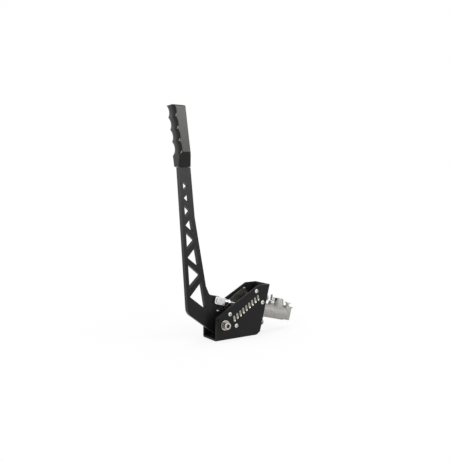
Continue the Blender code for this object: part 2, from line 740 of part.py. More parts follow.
def triangle_outlines():
    """Alternate cut-outs that leave a zigzag of webs between the plate's two edges."""
    outlines = []
    top = TRUSS_TOP_Z
    height = TRUSS_FIRST
    for index in range(TRUSS_COUNT):
        low = top - height
        middle = (top + low) / 2
        if index % 2 == 0:
            corners = [(front_x(top) + TRUSS_FLANGE_FRONT, top), (front_x(low) + TRUSS_FLANGE_FRONT, low),
                       (rear_x(middle) - TRUSS_FLANGE_REAR, middle)]
        else:
            corners = [(rear_x(top) - TRUSS_FLANGE_REAR, top), (front_x(middle) + TRUSS_FLANGE_FRONT, middle),
                       (rear_x(low) - TRUSS_FLANGE_REAR, low)]
        outlines.append(rounded([(x, z, TRUSS_CORNER_RADIUS) for x, z in corners], 2))
        top -= height / 2 + TRUSS_WEB
        height *= TRUSS_GROWTH
    return outlines


def make_lever():
    arm = (PIN - PIVOT).normalized()
    spare = PIN - arm * SPARE_HOLE_DROP
    holes = [circle((PIVOT.x, PIVOT.z), PIVOT_RADIUS + 2 * SEAT_GAP + BUSH_WALL, 28),
             circle((PIN.x, PIN.z), PIN_RADIUS + SEAT_GAP, 20),
             circle((spare.x, spare.z), SPARE_HOLE_RADIUS, 20)]
    lever = plate("lever_plate", [lever_outline()] + triangle_outlines() + holes,
                  -HALF_LEVER, HALF_LEVER, "black_lever")
    return stand_on(lever, PIVOT_FRAME)


def stand_on(obj, parent):
    """Parent a piece that was drawn in the object's own frame, without moving it."""
    bpy.context.view_layer.update()
    world = obj.matrix_world.copy()
    obj.parent = parent
    obj.matrix_parent_inverse = parent.matrix_world.inverted()
    obj.matrix_world = world
    return obj



# Grip

def grip_front_x(z):
    return GRIP_FRONT_TOP_X + (GRIP_TOP_Z - z) * tan(GRIP_FRONT_LEAN)


def scallop_cutter(index):
    """A bar across the grip that swells towards both side faces."""
    half = GRIP_WIDTH / 2
    profile = []
    for step in range(-SCALLOP_STEPS, SCALLOP_STEPS + 1):
        y = -step / SCALLOP_STEPS * (half + GRIP_CHAMFER)
        rim = max(0.0, abs(y) / half - SCALLOP_STRAIGHT) / (1 - SCALLOP_STRAIGHT)
        profile.append((SCALLOP_RADIUS + SCALLOP_FLARE * rim ** 2, y))
    cutter = turned(f"scallop_{index}", [(0, profile[0][1])] + profile + [(0, profile[-1][1])], steps=56)
    drop = SCALLOP_PITCH * (index + 0.5)
    z = GRIP_TOP_Z - drop * cos(GRIP_FRONT_LEAN)
    off = SCALLOP_RADIUS - SCALLOP_DEPTH
    cutter.location = (grip_front_x(z) - off * cos(GRIP_FRONT_LEAN), 0, z - off * sin(GRIP_FRONT_LEAN))
    cutter.rotation_euler = (pi / 2, 0, 0)
    return cutter


def make_grip():
    shelf = SHOULDER_Z + SEAT_GAP
    last_lip = GRIP_TOP_Z - SCALLOP_COUNT * SCALLOP_PITCH * cos(GRIP_FRONT_LEAN)
    outline = [(grip_rear_x(shelf), shelf), (grip_rear_x(GRIP_TOP_Z), GRIP_TOP_Z),
               (grip_front_x(GRIP_TOP_Z), GRIP_TOP_Z), (grip_front_x(last_lip), last_lip),
               (GRIP_FOOT_FRONT_X, shelf)]
    grip = plate("grip", [outline], -GRIP_WIDTH / 2, GRIP_WIDTH / 2, "grey_grip")
    chamfer(grip, GRIP_CHAMFER)
    for index in range(SCALLOP_COUNT):
        boolean(grip, scallop_cutter(index))
    slope = (GRIP_WIDTH - GRIP_FOOT_WIDTH) / 2 / GRIP_TAPER_HEIGHT
    for word, side in (("near", -1), ("far", 1)):
        low = shelf - GRIP_TAPER_HEIGHT
        foot = GRIP_FOOT_WIDTH / 2 - slope * (shelf - low)
        wedge = [(side * foot, low), (side * GRIP_WIDTH, low), (side * GRIP_WIDTH, shelf + GRIP_TAPER_HEIGHT),
                 (side * GRIP_WIDTH / 2, shelf + GRIP_TAPER_HEIGHT)]
        cutter = plate(f"taper_{word}", [wedge], -GRIP_WIDTH, GRIP_WIDTH)
        cutter.rotation_euler = (pi / 2, 0, pi / 2)
        cutter.location = ((GRIP_REAR_TOP_X + GRIP_FOOT_FRONT_X) / 2, 0, 0)
        boolean(grip, cutter)
    slot = tongue_outline(SEAT_GAP)
    drop = GRIP_TAPER_HEIGHT
    slot[0] = (tongue_rear_x(SHOULDER_Z - drop) + SEAT_GAP, SHOULDER_Z - drop)
    slot[3] = (tongue_rear_x(SHOULDER_Z - drop) - TONGUE_WIDTH - SEAT_GAP, SHOULDER_Z - drop)
    boolean(grip, plate("tongue_slot", [slot], -HALF_LEVER - SEAT_GAP, HALF_LEVER + SEAT_GAP))
    for number, share in enumerate(GRIP_SCREW_PLACES, start=1):
        z = SHOULDER_Z + TONGUE_HEIGHT * share
        hole = cylinder(f"grip_screw_hole_{number}", GRIP_SCREW_RADIUS + SEAT_GAP, -SMALL_EDGE, TONGUE_INSET * 3)
        screw = cylinder(f"grip_screw_{number}", GRIP_SCREW_RADIUS, 0, GRIP_SCREW_LENGTH, "nickel")
        key = hexagon_bar(f"grip_screw_key_{number}", GRIP_SCREW_RADIUS,
                          GRIP_SCREW_LENGTH - GRIP_SCREW_KEY_DEPTH, GRIP_SCREW_LENGTH * 2)
        place = (tongue_rear_x(z) + SEAT_GAP, 0, z)
        for piece in (hole, screw, key):
            piece.location = place
            piece.rotation_euler = (0, pi / 2 - GRIP_REAR_LEAN, 0)
        boolean(grip, hole)
        boolean(screw, key)
        stand_on(screw, PIVOT_FRAME)
    return stand_on(grip, PIVOT_FRAME)


# Clevis fork, its pin and the push rod; local Z runs along the rod, towards the cylinder

def make_fork():
    half_height = FORK_HEIGHT / 2
    fork = box("clevis_fork", (-half_height, -FORK_WIDTH / 2, -FORK_NOSE),
               (half_height, FORK_WIDTH / 2, FORK_LENGTH), "zinc")
    bm = bmesh.new()
    bm.from_mesh(fork.data)
    nose = [e for e in bm.edges if all(v.co.z < 0 for v in e.verts) and e.verts[0].co.x == e.verts[1].co.x]
    bmesh.ops.bevel(bm, geom=nose, offset=FORK_NOSE_ROUND, offset_type="OFFSET", segments=4, profile=0.5,
                    affect="EDGES")
    bm.to_mesh(fork.data)
    bm.free()
    neck_end = FORK_LENGTH + FORK_NECK_LENGTH
    neck = cylinder("fork_neck", FORK_NECK_RADIUS, FORK_LENGTH / 2, neck_end)
    room = EAR_RADIUS + 3 * SEAT_GAP
    slot = box("fork_slot", (-FORK_HEIGHT, -HALF_LEVER - SEAT_GAP, -2 * FORK_NOSE),
               (FORK_HEIGHT, HALF_LEVER + SEAT_GAP, room))
    thread = cylinder("fork_thread", ROD_RADIUS + SEAT_GAP, 0, 2 * neck_end)
    pin_hole = cylinder("fork_pin_hole", PIN_RADIUS + SEAT_GAP, -FORK_WIDTH, FORK_WIDTH)
    for piece in (fork, neck, slot, thread):
        mount_on(piece, ROD_FRAME)
    mount_on(pin_hole, ROD_FRAME, rotation=(pi / 2, 0, 0))
    boolean(fork, neck, "UNION")
    boolean(fork, slot)
    boolean(fork, thread)
    boolean(fork, pin_hole)


def make_clevis_pin():
    side = FORK_WIDTH / 2 + SEAT_GAP
    groove = side + SEAT_GAP + SMALL_EDGE
    tail = side + PIN_TAIL
    pin = turned("clevis_pin", [
        (0, side + PIN_HEAD_HEIGHT), (PIN_HEAD_RADIUS - SMALL_EDGE / 2, side + PIN_HEAD_HEIGHT),
        (PIN_HEAD_RADIUS, side + PIN_HEAD_HEIGHT - SMALL_EDGE / 2), (PIN_HEAD_RADIUS, side),
        (PIN_RADIUS, side), (PIN_RADIUS, SMALL_EDGE - tail), (PIN_RADIUS - SMALL_EDGE, -tail), (0, -tail)],
        "nickel")
    mount_on(pin, ROD_FRAME, rotation=(pi / 2, 0, 0))
    clip = tube_ring("clevis_pin_clip", PIN_RADIUS + SEAT_GAP, PIN_RADIUS + 5 * SEAT_GAP,
                     -groove - PIN_HEAD_HEIGHT / 2, -groove, "spring")
    mount_on(clip, ROD_FRAME, rotation=(pi / 2, 0, 0))


def make_rod():
    neck_end = FORK_LENGTH + FORK_NECK_LENGTH
    nut_low = neck_end + SEAT_GAP
    nut_high = nut_low + JAM_NUT_HEIGHT
    tools = nut("jam_nut", JAM_NUT_WIDTH, nut_low, nut_high, ROD_RADIUS + SEAT_GAP, "zinc")
    for piece in (tools, *nut_tools("jam_nut")):
        mount_on(piece, ROD_FRAME)
    ball = ROD_LENGTH
    start = EAR_RADIUS + 4 * SEAT_GAP
    waist = ball - ROD_WAIST_LENGTH
    blend = asin(ROD_WAIST_RADIUS / BALL_RADIUS)
    profile = [(r, z) for z, r in arc((ball, 0), BALL_RADIUS, 0, pi - blend, 7)]
    profile[0] = (0, ball + BALL_RADIUS)
    profile += [(ROD_WAIST_RADIUS, waist + SMALL_EDGE), (ROD_RADIUS, waist),
                (ROD_RADIUS, start + SMALL_EDGE), (ROD_RADIUS - SMALL_EDGE, start), (0, start)]
    mount_on(turned("push_rod", profile, "zinc", steps=18), ROD_FRAME)


# Master cylinder; local Z runs along the bore, from the wall's outer face, and local -X is up

def in_cylinder(obj, place=0.0, up=0.0, upright=False):
    """Stand a piece on the bore's axis, or upright on top of the cylinder."""
    return mount_on(obj, CYLINDER, (-up, 0, place), (0, -pi / 2, 0) if upright else (0, 0, 0))


def flange_outline():
    """Round hub with an ear above and below, drawn in the flange's own plane."""
    ear = FLANGE_BOLT_SPACING / 2
    lean = acos((FLANGE_HUB_RADIUS - FLANGE_EAR_RADIUS) / ear)
    points = arc((ear, 0), FLANGE_EAR_RADIUS, -lean, lean, 8)
    points += arc((0, 0), FLANGE_HUB_RADIUS, lean, pi - lean, 5)
    points += arc((-ear, 0), FLANGE_EAR_RADIUS, pi - lean, pi + lean, 8)
    points += arc((0, 0), FLANGE_HUB_RADIUS, pi + lean, 2 * pi - lean, 5)
    return points


def make_cylinder():
    end = CYLINDER_END
    edge = 2 * SMALL_EDGE
    body = turned("master_cylinder_body", [
        (0, end - edge), (BORE_RADIUS + SMALL_EDGE, end - edge), (BORE_RADIUS + SMALL_EDGE, TUBE_LENGTH),
        (CYLINDER_RADIUS - edge, TUBE_LENGTH), (CYLINDER_RADIUS, TUBE_LENGTH - edge),
        (CYLINDER_RADIUS, FLANGE_THICKNESS / 2),
        (NOSE_RADIUS, FLANGE_THICKNESS / 2), (NOSE_RADIUS, SMALL_EDGE - NOSE_LENGTH),
        (NOSE_RADIUS - SMALL_EDGE, -NOSE_LENGTH), (0, -NOSE_LENGTH)], "cast", steps=32)
    in_cylinder(body).rotation_euler.z = pi / 32
    flange = plate("flange", [flange_outline()], SEAT_GAP, FLANGE_THICKNESS)
    flange.location = (0, 0, 0)
    mount_on(flange, CYLINDER, (0, 0, (SEAT_GAP + FLANGE_THICKNESS) / 2))
    boolean(body, flange, "UNION")
    tower = turned("tower", [
        (0, TOWER_HEIGHT), (TOWER_TOP_RADIUS - edge, TOWER_HEIGHT), (TOWER_TOP_RADIUS, TOWER_HEIGHT - edge),
        (TOWER_FOOT_RADIUS, CYLINDER_RADIUS), (TOWER_FOOT_RADIUS, 0), (0, 0)], steps=24)
    tower.scale = (1, TOWER_SLIMNESS, 1)
    boolean(body, in_cylinder(tower, TOWER_PLACE, upright=True), "UNION")
    block = box("end_block", (-END_ABOVE, -END_HALF_WIDTH, TUBE_LENGTH - 2 * edge), (END_BELOW, END_HALF_WIDTH, end))
    boolean(body, in_cylinder(chamfer(block, END_ROUND, 2)), "UNION")
    for name, place, radius, height in (("inlet_pad", INLET_PLACE, INLET_PAD_RADIUS, INLET_PAD_HEIGHT),
                                        ("bleed_pad", BLEED_PLACE, BLEED_PAD_RADIUS, BLEED_PAD_HEIGHT)):
        pad = cylinder(name, radius, BORE_RADIUS + edge, height)
        boolean(body, in_cylinder(pad, place, upright=True), "UNION")
    tab_top = END_ABOVE - TAB_DROP
    tab = box("end_tab", (-tab_top, -TAB_WIDTH / 2, end + TAB_OVERHANG - TAB_LENGTH),
              (TAB_THICKNESS - tab_top, TAB_WIDTH / 2, end + TAB_OVERHANG))
    boolean(body, in_cylinder(tab), "UNION")
    clip_groove = PISTON_REST - STOP_RING_THICKNESS * 2 - 3 * SEAT_GAP
    bore = turned("bore", [
        (0, 2 * end), (PORT_RADIUS, 2 * end), (PORT_RADIUS, BORE_DEPTH), (BORE_RADIUS, BORE_DEPTH),
        (BORE_RADIUS, clip_groove + STOP_RING_THICKNESS + SEAT_GAP),
        (BORE_RADIUS + 2 * SMALL_EDGE, clip_groove + STOP_RING_THICKNESS + SEAT_GAP),
        (BORE_RADIUS + 2 * SMALL_EDGE, clip_groove - SEAT_GAP), (BORE_RADIUS, clip_groove - SEAT_GAP),
        (BORE_RADIUS, -end), (0, -end)], steps=32)
    boolean(body, in_cylinder(bore))
    for name, place, radius, depth in (("inlet_hole", INLET_PLACE, BARB_RADIUS, 2 * INLET_PAD_HEIGHT),
                                       ("bleed_hole", BLEED_PLACE, PLUG_RADIUS, 2 * BLEED_PAD_HEIGHT)):
        drill = cylinder(name, radius + SEAT_GAP, 0, depth)
        boolean(body, in_cylinder(drill, place, upright=True))
    for side in (-1, 1):
        hole = cylinder("flange_hole", FLANGE_BOLT_RADIUS + SEAT_GAP, -end, end, sides=12)
        boolean(body, in_cylinder(hole, up=side * FLANGE_BOLT_SPACING / 2))
    ring_bore = STOP_RING_BORE
    in_cylinder(tube_ring("stop_washer", ring_bore, BORE_RADIUS - SEAT_GAP,
                          PISTON_REST - SEAT_GAP - STOP_RING_THICKNESS, PISTON_REST - SEAT_GAP, "nickel"))
    in_cylinder(tube_ring("bore_clip", ring_bore, BORE_RADIUS + SMALL_EDGE, clip_groove,
                          clip_groove + STOP_RING_THICKNESS, "spring"))


def make_flange_bolts():
    seat = FLANGE_THICKNESS + SEAT_GAP
    washer_end = seat + FLANGE_WASHER_THICKNESS
    nut_low = washer_end + SEAT_GAP
    nut_high = nut_low + FLANGE_NUT_HEIGHT
    head = -SHEET - SEAT_GAP
    tip = nut_high + FLANGE_BOLT_PROUD
    hole = FLANGE_BOLT_RADIUS + SEAT_GAP
    for word, side in (("upper", 1), ("lower", -1)):
        up = side * FLANGE_BOLT_SPACING / 2
        bolt = hexagon_bar(f"flange_bolt_{word}", FLANGE_BOLT_WIDTH, head - FLANGE_BOLT_HEAD, head, "zinc")
        shank = turned(f"flange_shank_{word}", [
            (0, tip), (FLANGE_BOLT_RADIUS - SMALL_EDGE, tip), (FLANGE_BOLT_RADIUS, tip - SMALL_EDGE),
            (FLANGE_BOLT_RADIUS, head - FLANGE_BOLT_HEAD / 2), (0, head - FLANGE_BOLT_HEAD / 2)], steps=16)
        boolean(in_cylinder(bolt, up=up), in_cylinder(shank, up=up), "UNION")
        washer = tube_ring(f"flange_washer_{word}", hole, FLANGE_WASHER_RADIUS, seat, washer_end, "zinc")
        in_cylinder(washer, up=up)
        name = f"flange_nut_{word}"
        in_cylinder(nut(name, FLANGE_BOLT_WIDTH, nut_low, nut_high, hole, "zinc"), up=up)
        for tool in nut_tools(name):
            in_cylinder(tool, up=up)


def make_piston():
    rear = PISTON_REST
    front = rear + PISTON_LENGTH
    full = BORE_RADIUS - SEAT_GAP
    groove = rear + 1.5 * PISTON_LAND
    groove_end = groove + CUP_LENGTH
    nose = front - CUP_LENGTH - 2 * SEAT_GAP
    waist = groove_end + PISTON_LAND
    piston = turned("piston", [
        (0, front), (PISTON_NOSE_RADIUS, front), (PISTON_NOSE_RADIUS, nose), (full, nose),
        (full, nose - PISTON_LAND), (PISTON_WAIST_RADIUS, nose - PISTON_LAND), (PISTON_WAIST_RADIUS, waist),
        (full, waist), (full, groove_end), (PISTON_WAIST_RADIUS, groove_end), (PISTON_WAIST_RADIUS, groove),
        (full, groove), (full, rear), (0, rear)], "polished")
    dome = [(r, z) for z, r in arc((ROD_CUP_CENTRE, 0), ROD_CUP_RADIUS, 0, pi / 2, 5)]
    dome[0] = (0, ROD_CUP_CENTRE + ROD_CUP_RADIUS)
    dome[-1] = (ROD_CUP_RADIUS, ROD_CUP_CENTRE)
    cup = turned("rod_cup", dome + [(ROD_CUP_RADIUS, 2 * rear), (0, 2 * rear)], steps=16)
    boolean(in_cylinder(piston), in_cylinder(cup))
    low = nose + SEAT_GAP
    in_cylinder(tube_ring("primary_cup", PISTON_NOSE_RADIUS + SEAT_GAP, full, low, low + CUP_LENGTH, "rubber", 24))
    low = groove + SEAT_GAP
    high = groove_end - SEAT_GAP
    in_cylinder(tube_ring("secondary_cup", PISTON_WAIST_RADIUS + SEAT_GAP, full, low, high, "rubber", 24))


def make_spring():
    start = PISTON_REST + PISTON_LENGTH + SEAT_GAP + SPRING_WIRE
    end = BORE_DEPTH - SEAT_GAP - SPRING_WIRE
    steps = SPRING_TURNS * SPRING_POINTS
    curve = bpy.data.curves.new("return_spring", "CURVE")
    curve.dimensions = "3D"
    curve.bevel_depth = SPRING_WIRE
    curve.bevel_resolution = 1
    curve.use_fill_caps = True
    spline = curve.splines.new("POLY")
    spline.points.add(steps)
    for step, point in enumerate(spline.points):
        angle = 2 * pi * step / SPRING_POINTS
        point.co = (SPRING_RADIUS * cos(angle), SPRING_RADIUS * sin(angle), start + (end - start) * step / steps, 1)
    in_cylinder(link(bpy.data.objects.new("return_spring", curve), PARTS, "spring"))


def make_fittings():
    base = INLET_PAD_HEIGHT + SEAT_GAP
    top = base + BARB_HEIGHT
    wide = BARB_FLANGE_RADIUS
    collar = base + BARB_FLANGE_HEIGHT
    seat = BORE_RADIUS + 2 * SMALL_EDGE
    profile = [(0, top), (BARB_RADIUS, top)]
    for ridge in (1, 2):
        low = top - ridge * BARB_RIDGE_STEP
        profile += [(BARB_RIDGE_RADIUS, low), (BARB_RADIUS, low - SMALL_EDGE)]
    profile += [(BARB_RADIUS, collar), (wide - SMALL_EDGE, collar), (wide, collar - SMALL_EDGE), (wide, base),
                (BARB_RADIUS, base), (BARB_RADIUS, seat), (0, seat)]
    barb = turned("inlet_barb", profile, "zinc", steps=18)
    drill = cylinder("barb_bore", BARB_BORE_RADIUS, 0, 2 * top, sides=12)
    boolean(in_cylinder(barb, INLET_PLACE, upright=True), in_cylinder(drill, INLET_PLACE, upright=True))
    base = BLEED_PAD_HEIGHT + SEAT_GAP
    head = base + PLUG_NECK_LENGTH
    top = head + PLUG_HEAD_THICKNESS
    plug = turned("port_plug", [
        (0, top), (PLUG_HEAD_RADIUS - SMALL_EDGE, top), (PLUG_HEAD_RADIUS, top - SMALL_EDGE),
        (PLUG_HEAD_RADIUS, head), (PLUG_NECK_RADIUS, head), (PLUG_NECK_RADIUS, base), (PLUG_RADIUS, base),
        (PLUG_RADIUS, seat), (0, seat)], "plastic", steps=18)
    in_cylinder(plug, BLEED_PLACE, upright=True)
    wall = -SHEET - SEAT_GAP
    collar = NOSE_RADIUS + SEAT_GAP
    outer = collar + BOOT_WALL
    lip = ROD_RADIUS + RUN_GAP
    end = -NOSE_LENGTH - BOOT_LENGTH
    step = (BOOT_LENGTH - BOOT_WALL) / BOOT_FOLDS
    outside = [(outer, wall), (outer, -NOSE_LENGTH)]
    for fold in range(1, BOOT_FOLDS + 1):
        low = -NOSE_LENGTH - step * fold
        valley = outer - (outer - lip - 2 * BOOT_WALL) * fold / BOOT_FOLDS
        outside += [(valley + BOOT_CREST, low + step / 2), (valley, low)]
    outside.append((lip + BOOT_WALL, end))
    inside = [(lip, end), (lip, end + BOOT_WALL), (collar - BOOT_WALL, -NOSE_LENGTH - SEAT_GAP),
              (collar, -NOSE_LENGTH - SEAT_GAP), (collar, wall)]
    in_cylinder(turned("dust_boot", outside + inside, "rubber"))


CYLINDER = frame_at("cylinder_frame", CYLINDER_ORIGIN, pi / 2 + WALL_TILT)
PIVOT_FRAME = frame_at("lever_pivot", PIVOT)
ROD_FRAME = frame_at("clevis_pin_axis", PIN, pi / 2 + ROD_TILT)

make_bracket()
make_backing_plates()
make_plate_screws()
make_pivot()
make_lever()
make_grip()
make_fork()
make_clevis_pin()
make_rod()
make_cylinder()
make_flange_bolts()
make_piston()
make_spring()
make_fittings()
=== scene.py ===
"""Looks of the vertical hydraulic parking brake lever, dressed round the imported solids."""
import json
from math import cos, radians, sin, sqrt

import bmesh
import bpy
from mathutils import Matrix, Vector


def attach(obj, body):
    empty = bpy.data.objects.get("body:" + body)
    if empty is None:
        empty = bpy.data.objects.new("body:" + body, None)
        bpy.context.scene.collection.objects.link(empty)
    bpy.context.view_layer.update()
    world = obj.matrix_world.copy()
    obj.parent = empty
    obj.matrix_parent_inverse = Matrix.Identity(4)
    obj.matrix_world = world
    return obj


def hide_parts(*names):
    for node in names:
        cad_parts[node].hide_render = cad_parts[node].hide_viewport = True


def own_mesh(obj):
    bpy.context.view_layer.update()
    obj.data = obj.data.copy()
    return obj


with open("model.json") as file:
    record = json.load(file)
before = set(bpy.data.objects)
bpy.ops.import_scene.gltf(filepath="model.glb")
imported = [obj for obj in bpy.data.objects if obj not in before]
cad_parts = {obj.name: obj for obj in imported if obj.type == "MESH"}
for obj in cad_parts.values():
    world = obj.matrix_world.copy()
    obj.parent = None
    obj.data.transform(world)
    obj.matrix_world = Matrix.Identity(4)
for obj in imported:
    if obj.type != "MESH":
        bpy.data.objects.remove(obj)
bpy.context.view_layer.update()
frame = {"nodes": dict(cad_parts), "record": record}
NODES = frame["nodes"]
RECORD = frame["record"]
BODY_OF = {node: body for body, nodes in RECORD["behaviour"]["bodies"].items() for node in nodes}
SLOT_OF = {row["node"]: row["material_slot"] for row in RECORD["subparts"]}

# Directions of the tilted cylinder
WALL_LEAN = radians(14.5)
BARB_AXIS = Vector((sin(WALL_LEAN), 0, cos(WALL_LEAN)))
BARB_SWELL = 1.14

# Edges and shading of the dressed copies
MERGE_DISTANCE = 0.000005
FLAT_ANGLE = radians(1.0)
EDGE_WIDTH = {
    "bracket": 0.0007, "lever_plate": 0.0006, "grip": 0.0005, "master_cylinder_body": 0.0008,
    "clevis_fork": 0.0006, "left_backing_plate": 0.0003, "right_backing_plate": 0.0003,
    "dust_boot": 0.0004, "jam_nut": 0.00025, "pivot_nut": 0.0003,
}
PLAIN_EDGE = 0.0002
EDGE_SEGMENTS = 2
SHARP_ANGLE = {"grip": radians(12)}
PLAIN_SHARP = radians(32)
NO_BEVEL = ("return_spring", "inlet_barb")

# Near-white metal painted as light: on the slots' walls it makes the lettering read bright, and in
# the lever's spare hole it lies only on the upward-facing faces as a painted highlight
PAINTED_LIGHT_NODES = ("bracket", "lever_plate")
ROW_CENTRE = (0.0260, 0.0640)
ROW_ANGLE = radians(31.8)
ROW_REACH = (0.0440, 0.0100)    # half the row's length and half its width
SIDE_INNER_FACE = 0.0225
SPARE_HOLE = (-0.0340, 0.0643)
SPARE_HOLE_REACH = 0.0045
MOST_SIDEWAYS = 0.3
LEAST_UPWARDS = 0.8

# Floor and world
FLOOR_SIZE = 60.0
FLOOR_HEIGHT = -0.0001
FLOOR_COLOUR = (0.9, 0.9, 0.9, 1)
FLOOR_ROUGHNESS = 0.9
WHITE = (1, 1, 1, 1)
GLOW_NEAR = 0.80            # share of plain white in what the camera sees close to the object
GLOW_FAR = 1.0
GLOW_START = 0.10
GLOW_END = 0.45
WORLD_LIGHT = 0.50

# Lamps: name, place, width and height, power
LAMP_TARGET = (-0.02, 0, 0.2)
LAMPS = (
    ("softbox_left", (-1.5, -0.5, 1.2), (0.2, 0.5), 9),
    ("softbox_right", (0.9, -1.3, 0.9), (0.9, 0.9), 12),
    ("softbox_top", (0.1, 0.3, 1.8), (1.2, 1.2), 11),
)

# Camera, fitted to the photograph's frame of 450 x 461 pixels
CAMERA_PLACE = (-0.7135, -1.0637, 0.3217)
CAMERA_AZIMUTH = radians(-33.37)
CAMERA_ELEVATION = radians(3.86)
FOCAL_PIXELS = 583
FRAME_HEIGHT = 461
SENSOR = 36.0
NEAREST_SEEN = 0.01


# Node helpers

def material(name):
    made = bpy.data.materials.new(name)
    made.use_nodes = True
    tree = made.node_tree
    return made, tree, tree.nodes["Principled BSDF"]


def add(tree, kind, **settings):
    """Add a node; a setting that starts with in_ is the plain value of an input."""
    node = tree.nodes.new(kind)
    for key, value in settings.items():
        if key.startswith("in_"):
            node.inputs[key[3:].replace("_", " ")].default_value = value
        else:
            setattr(node, key, value)
    return node


def noise(tree, scale, detail=3.0, stretch=(1, 1, 1)):
    """Noise in the object's own metres; scale is in features per metre."""
    place = add(tree, "ShaderNodeTexCoord")
    mapping = add(tree, "ShaderNodeMapping", in_Scale=stretch)
    tree.links.new(place.outputs["Object"], mapping.inputs["Vector"])
    grain = add(tree, "ShaderNodeTexNoise", in_Scale=scale, in_Detail=detail)
    tree.links.new(mapping.outputs["Vector"], grain.inputs["Vector"])
    return grain.outputs["Fac"]


def seen_directly(tree):
    """1 for what the camera sees itself, in a reflection or through something clear."""
    path = add(tree, "ShaderNodeLightPath")
    share = path.outputs["Is Camera Ray"]
    for name in ("Is Glossy Ray", "Is Transmission Ray"):
        either = add(tree, "ShaderNodeMath", operation="MAXIMUM")
        tree.links.new(share, either.inputs[0])
        tree.links.new(path.outputs[name], either.inputs[1])
        share = either.outputs[0]
    return share


def span(tree, value, low, high, start=0.3, end=0.7):
    """Map a value between start and end onto low to high."""
    node = add(tree, "ShaderNodeMapRange", in_From_Min=start, in_From_Max=end, in_To_Min=low,
               in_To_Max=high)
    tree.links.new(value, node.inputs["Value"])
    return node.outputs["Result"]


def two_tone(tree, value, dark, light, start=0.3, end=0.7):
    ramp = add(tree, "ShaderNodeValToRGB")
    low, high = ramp.color_ramp.elements
    low.position = start
    low.color = (*dark, 1)
    high.position = end
    high.color = (*light, 1)
    tree.links.new(value, ramp.inputs["Fac"])
    return ramp.outputs["Color"]


def bump(tree, shader, height, strength, distance):
    node = add(tree, "ShaderNodeBump", in_Strength=strength, in_Distance=distance)
    tree.links.new(height, node.inputs["Height"])
    tree.links.new(node.outputs["Normal"], shader.inputs["Normal"])


def mixed(tree, share, first, second):
    """Blend two colours, each a socket or a plain colour."""
    mix = add(tree, "ShaderNodeMix", data_type="RGBA")
    tree.links.new(share, mix.inputs["Factor"])
    for name, colour in (("A", first), ("B", second)):
        if isinstance(colour, tuple):
            mix.inputs[name].default_value = (*colour, 1)
        else:
            tree.links.new(colour, mix.inputs[name])
    return mix.outputs["Result"]


def softened_normal(tree, reach):
    soft = add(tree, "ShaderNodeBevel", samples=4, in_Radius=reach)
    return soft.outputs["Normal"]


def painted_edge_tone(tree, colour, painted_edge_colour, reach=0.0009):
    """Paint another colour along the outer edges: a painted edge highlight on the black finishes, a
    painted dark rim on the milky plastic.
    """
    here = add(tree, "ShaderNodeNewGeometry")
    compare = add(tree, "ShaderNodeVectorMath", operation="DOT_PRODUCT")
    tree.links.new(softened_normal(tree, reach), compare.inputs[0])
    tree.links.new(here.outputs["Normal"], compare.inputs[1])
    amount = span(tree, compare.outputs["Value"], low=1.0, high=0.0, start=0.80, end=0.995)
    return mixed(tree, amount, colour, painted_edge_colour)


def painted_crevice_shade(tree, colour, crevice_shade, reach):
    """Paint shade into sockets, gaps and corners, where the surroundings close in."""
    hidden = add(tree, "ShaderNodeAmbientOcclusion", samples=8, in_Distance=reach)
    unshaded = span(tree, hidden.outputs["AO"], low=0.0, high=1.0, start=0.35, end=0.80)
    return mixed(tree, unshaded, crevice_shade, colour)


# Finishes

def metal_finish(name, dark, light, roughness, metallic, grain, bump_strength=0.15,
                 stretch=(1, 1, 1), spread=0.06, edge=None, bump_distance=0.00004, specular=0.5,
                 crevice_shade=None, crevice_shade_reach=0.0022):
    """A cloudy two-tone finish with a fine grain; the optional edge colour is painted light or shade
    along the edges, the optional hollow colour painted shade in sockets and corners.
    """
    made, tree, shader = material(name)
    shader.inputs["Metallic"].default_value = metallic
    shader.inputs["Specular IOR Level"].default_value = specular
    cloud = noise(tree, grain / 6, 4.0, stretch)
    colour = two_tone(tree, cloud, dark, light)
    # painted light or shade along the edges
    if edge:
        colour = painted_edge_tone(tree, colour, edge)
    # painted shade in the hollows, from ambient occlusion
    if crevice_shade:
        colour = painted_crevice_shade(tree, colour, crevice_shade, crevice_shade_reach)
    gloss = span(tree, cloud, low=roughness - spread, high=roughness + spread)
    tree.links.new(colour, shader.inputs["Base Color"])
    tree.links.new(gloss, shader.inputs["Roughness"])
    bump(tree, shader, noise(tree, grain, 3.0, stretch), bump_strength, bump_distance)
    return made


def painted_light_above(made, low, high, gain):
    """Painted light: let a dark finish turn lighter from the height low up to the height high."""
    tree = made.node_tree
    base = tree.nodes["Principled BSDF"].inputs["Base Color"]
    place = add(tree, "ShaderNodeTexCoord")
    parts = add(tree, "ShaderNodeSeparateXYZ")
    tree.links.new(place.outputs["Object"], parts.inputs[0])
    level = span(tree, parts.outputs["Z"], low=1.0, high=gain, start=low, end=high)
    scaled = add(tree, "ShaderNodeVectorMath", operation="SCALE")
    tree.links.new(base.links[0].from_socket, scaled.inputs[0])
    tree.links.new(level, scaled.inputs["Scale"])
    tree.links.new(scaled.outputs["Vector"], base)
    return made


